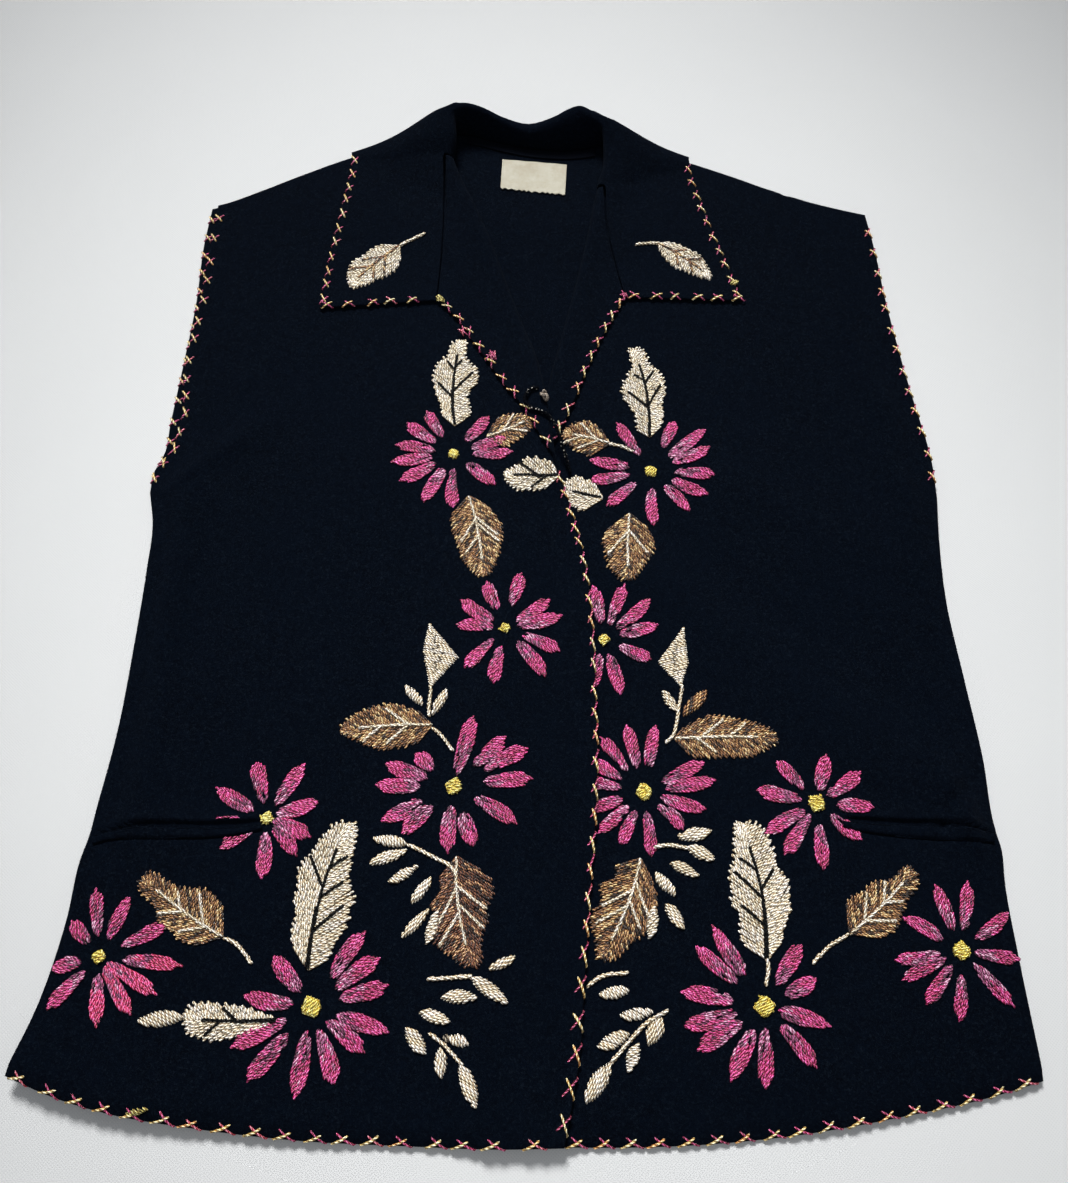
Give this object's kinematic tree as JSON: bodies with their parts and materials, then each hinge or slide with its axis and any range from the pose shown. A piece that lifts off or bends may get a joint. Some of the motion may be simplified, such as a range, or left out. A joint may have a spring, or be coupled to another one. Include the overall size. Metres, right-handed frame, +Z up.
{
  "type": "embroidered vest",
  "caption": "Sleeveless wool vest laid flat, with turned-back lapels, a notched collar, a cord loop at the break and two welt pockets.",
  "frame": {"origin": "on the surface the vest lies on, under the middle of its outline", "axes": "+X towards the wearer's left, +Y from the hem to the collar, +Z up, out of the vest's front"},
  "size_m": [0.517, 0.6531, 0.0268],
  "materials": {
    "wool": "black felted wool",
    "tape": "black twill",
    "label": "off-white woven satin, blank",
    "cord": "black braid with a sheen",
    "yarn": "matte wool embroidery yarn in several colours"
  },
  "bodies": {
    "root": {"back": "wool", "front_right": "wool", "front_left": "wool", "collar": "wool", "neck_tape": "tape", "label": "label", "pocket_welt_right": "wool", "pocket_welt_left": "wool", "button_loop": "cord", "loop_knot": "cord"}
  },
  "joints": []
}
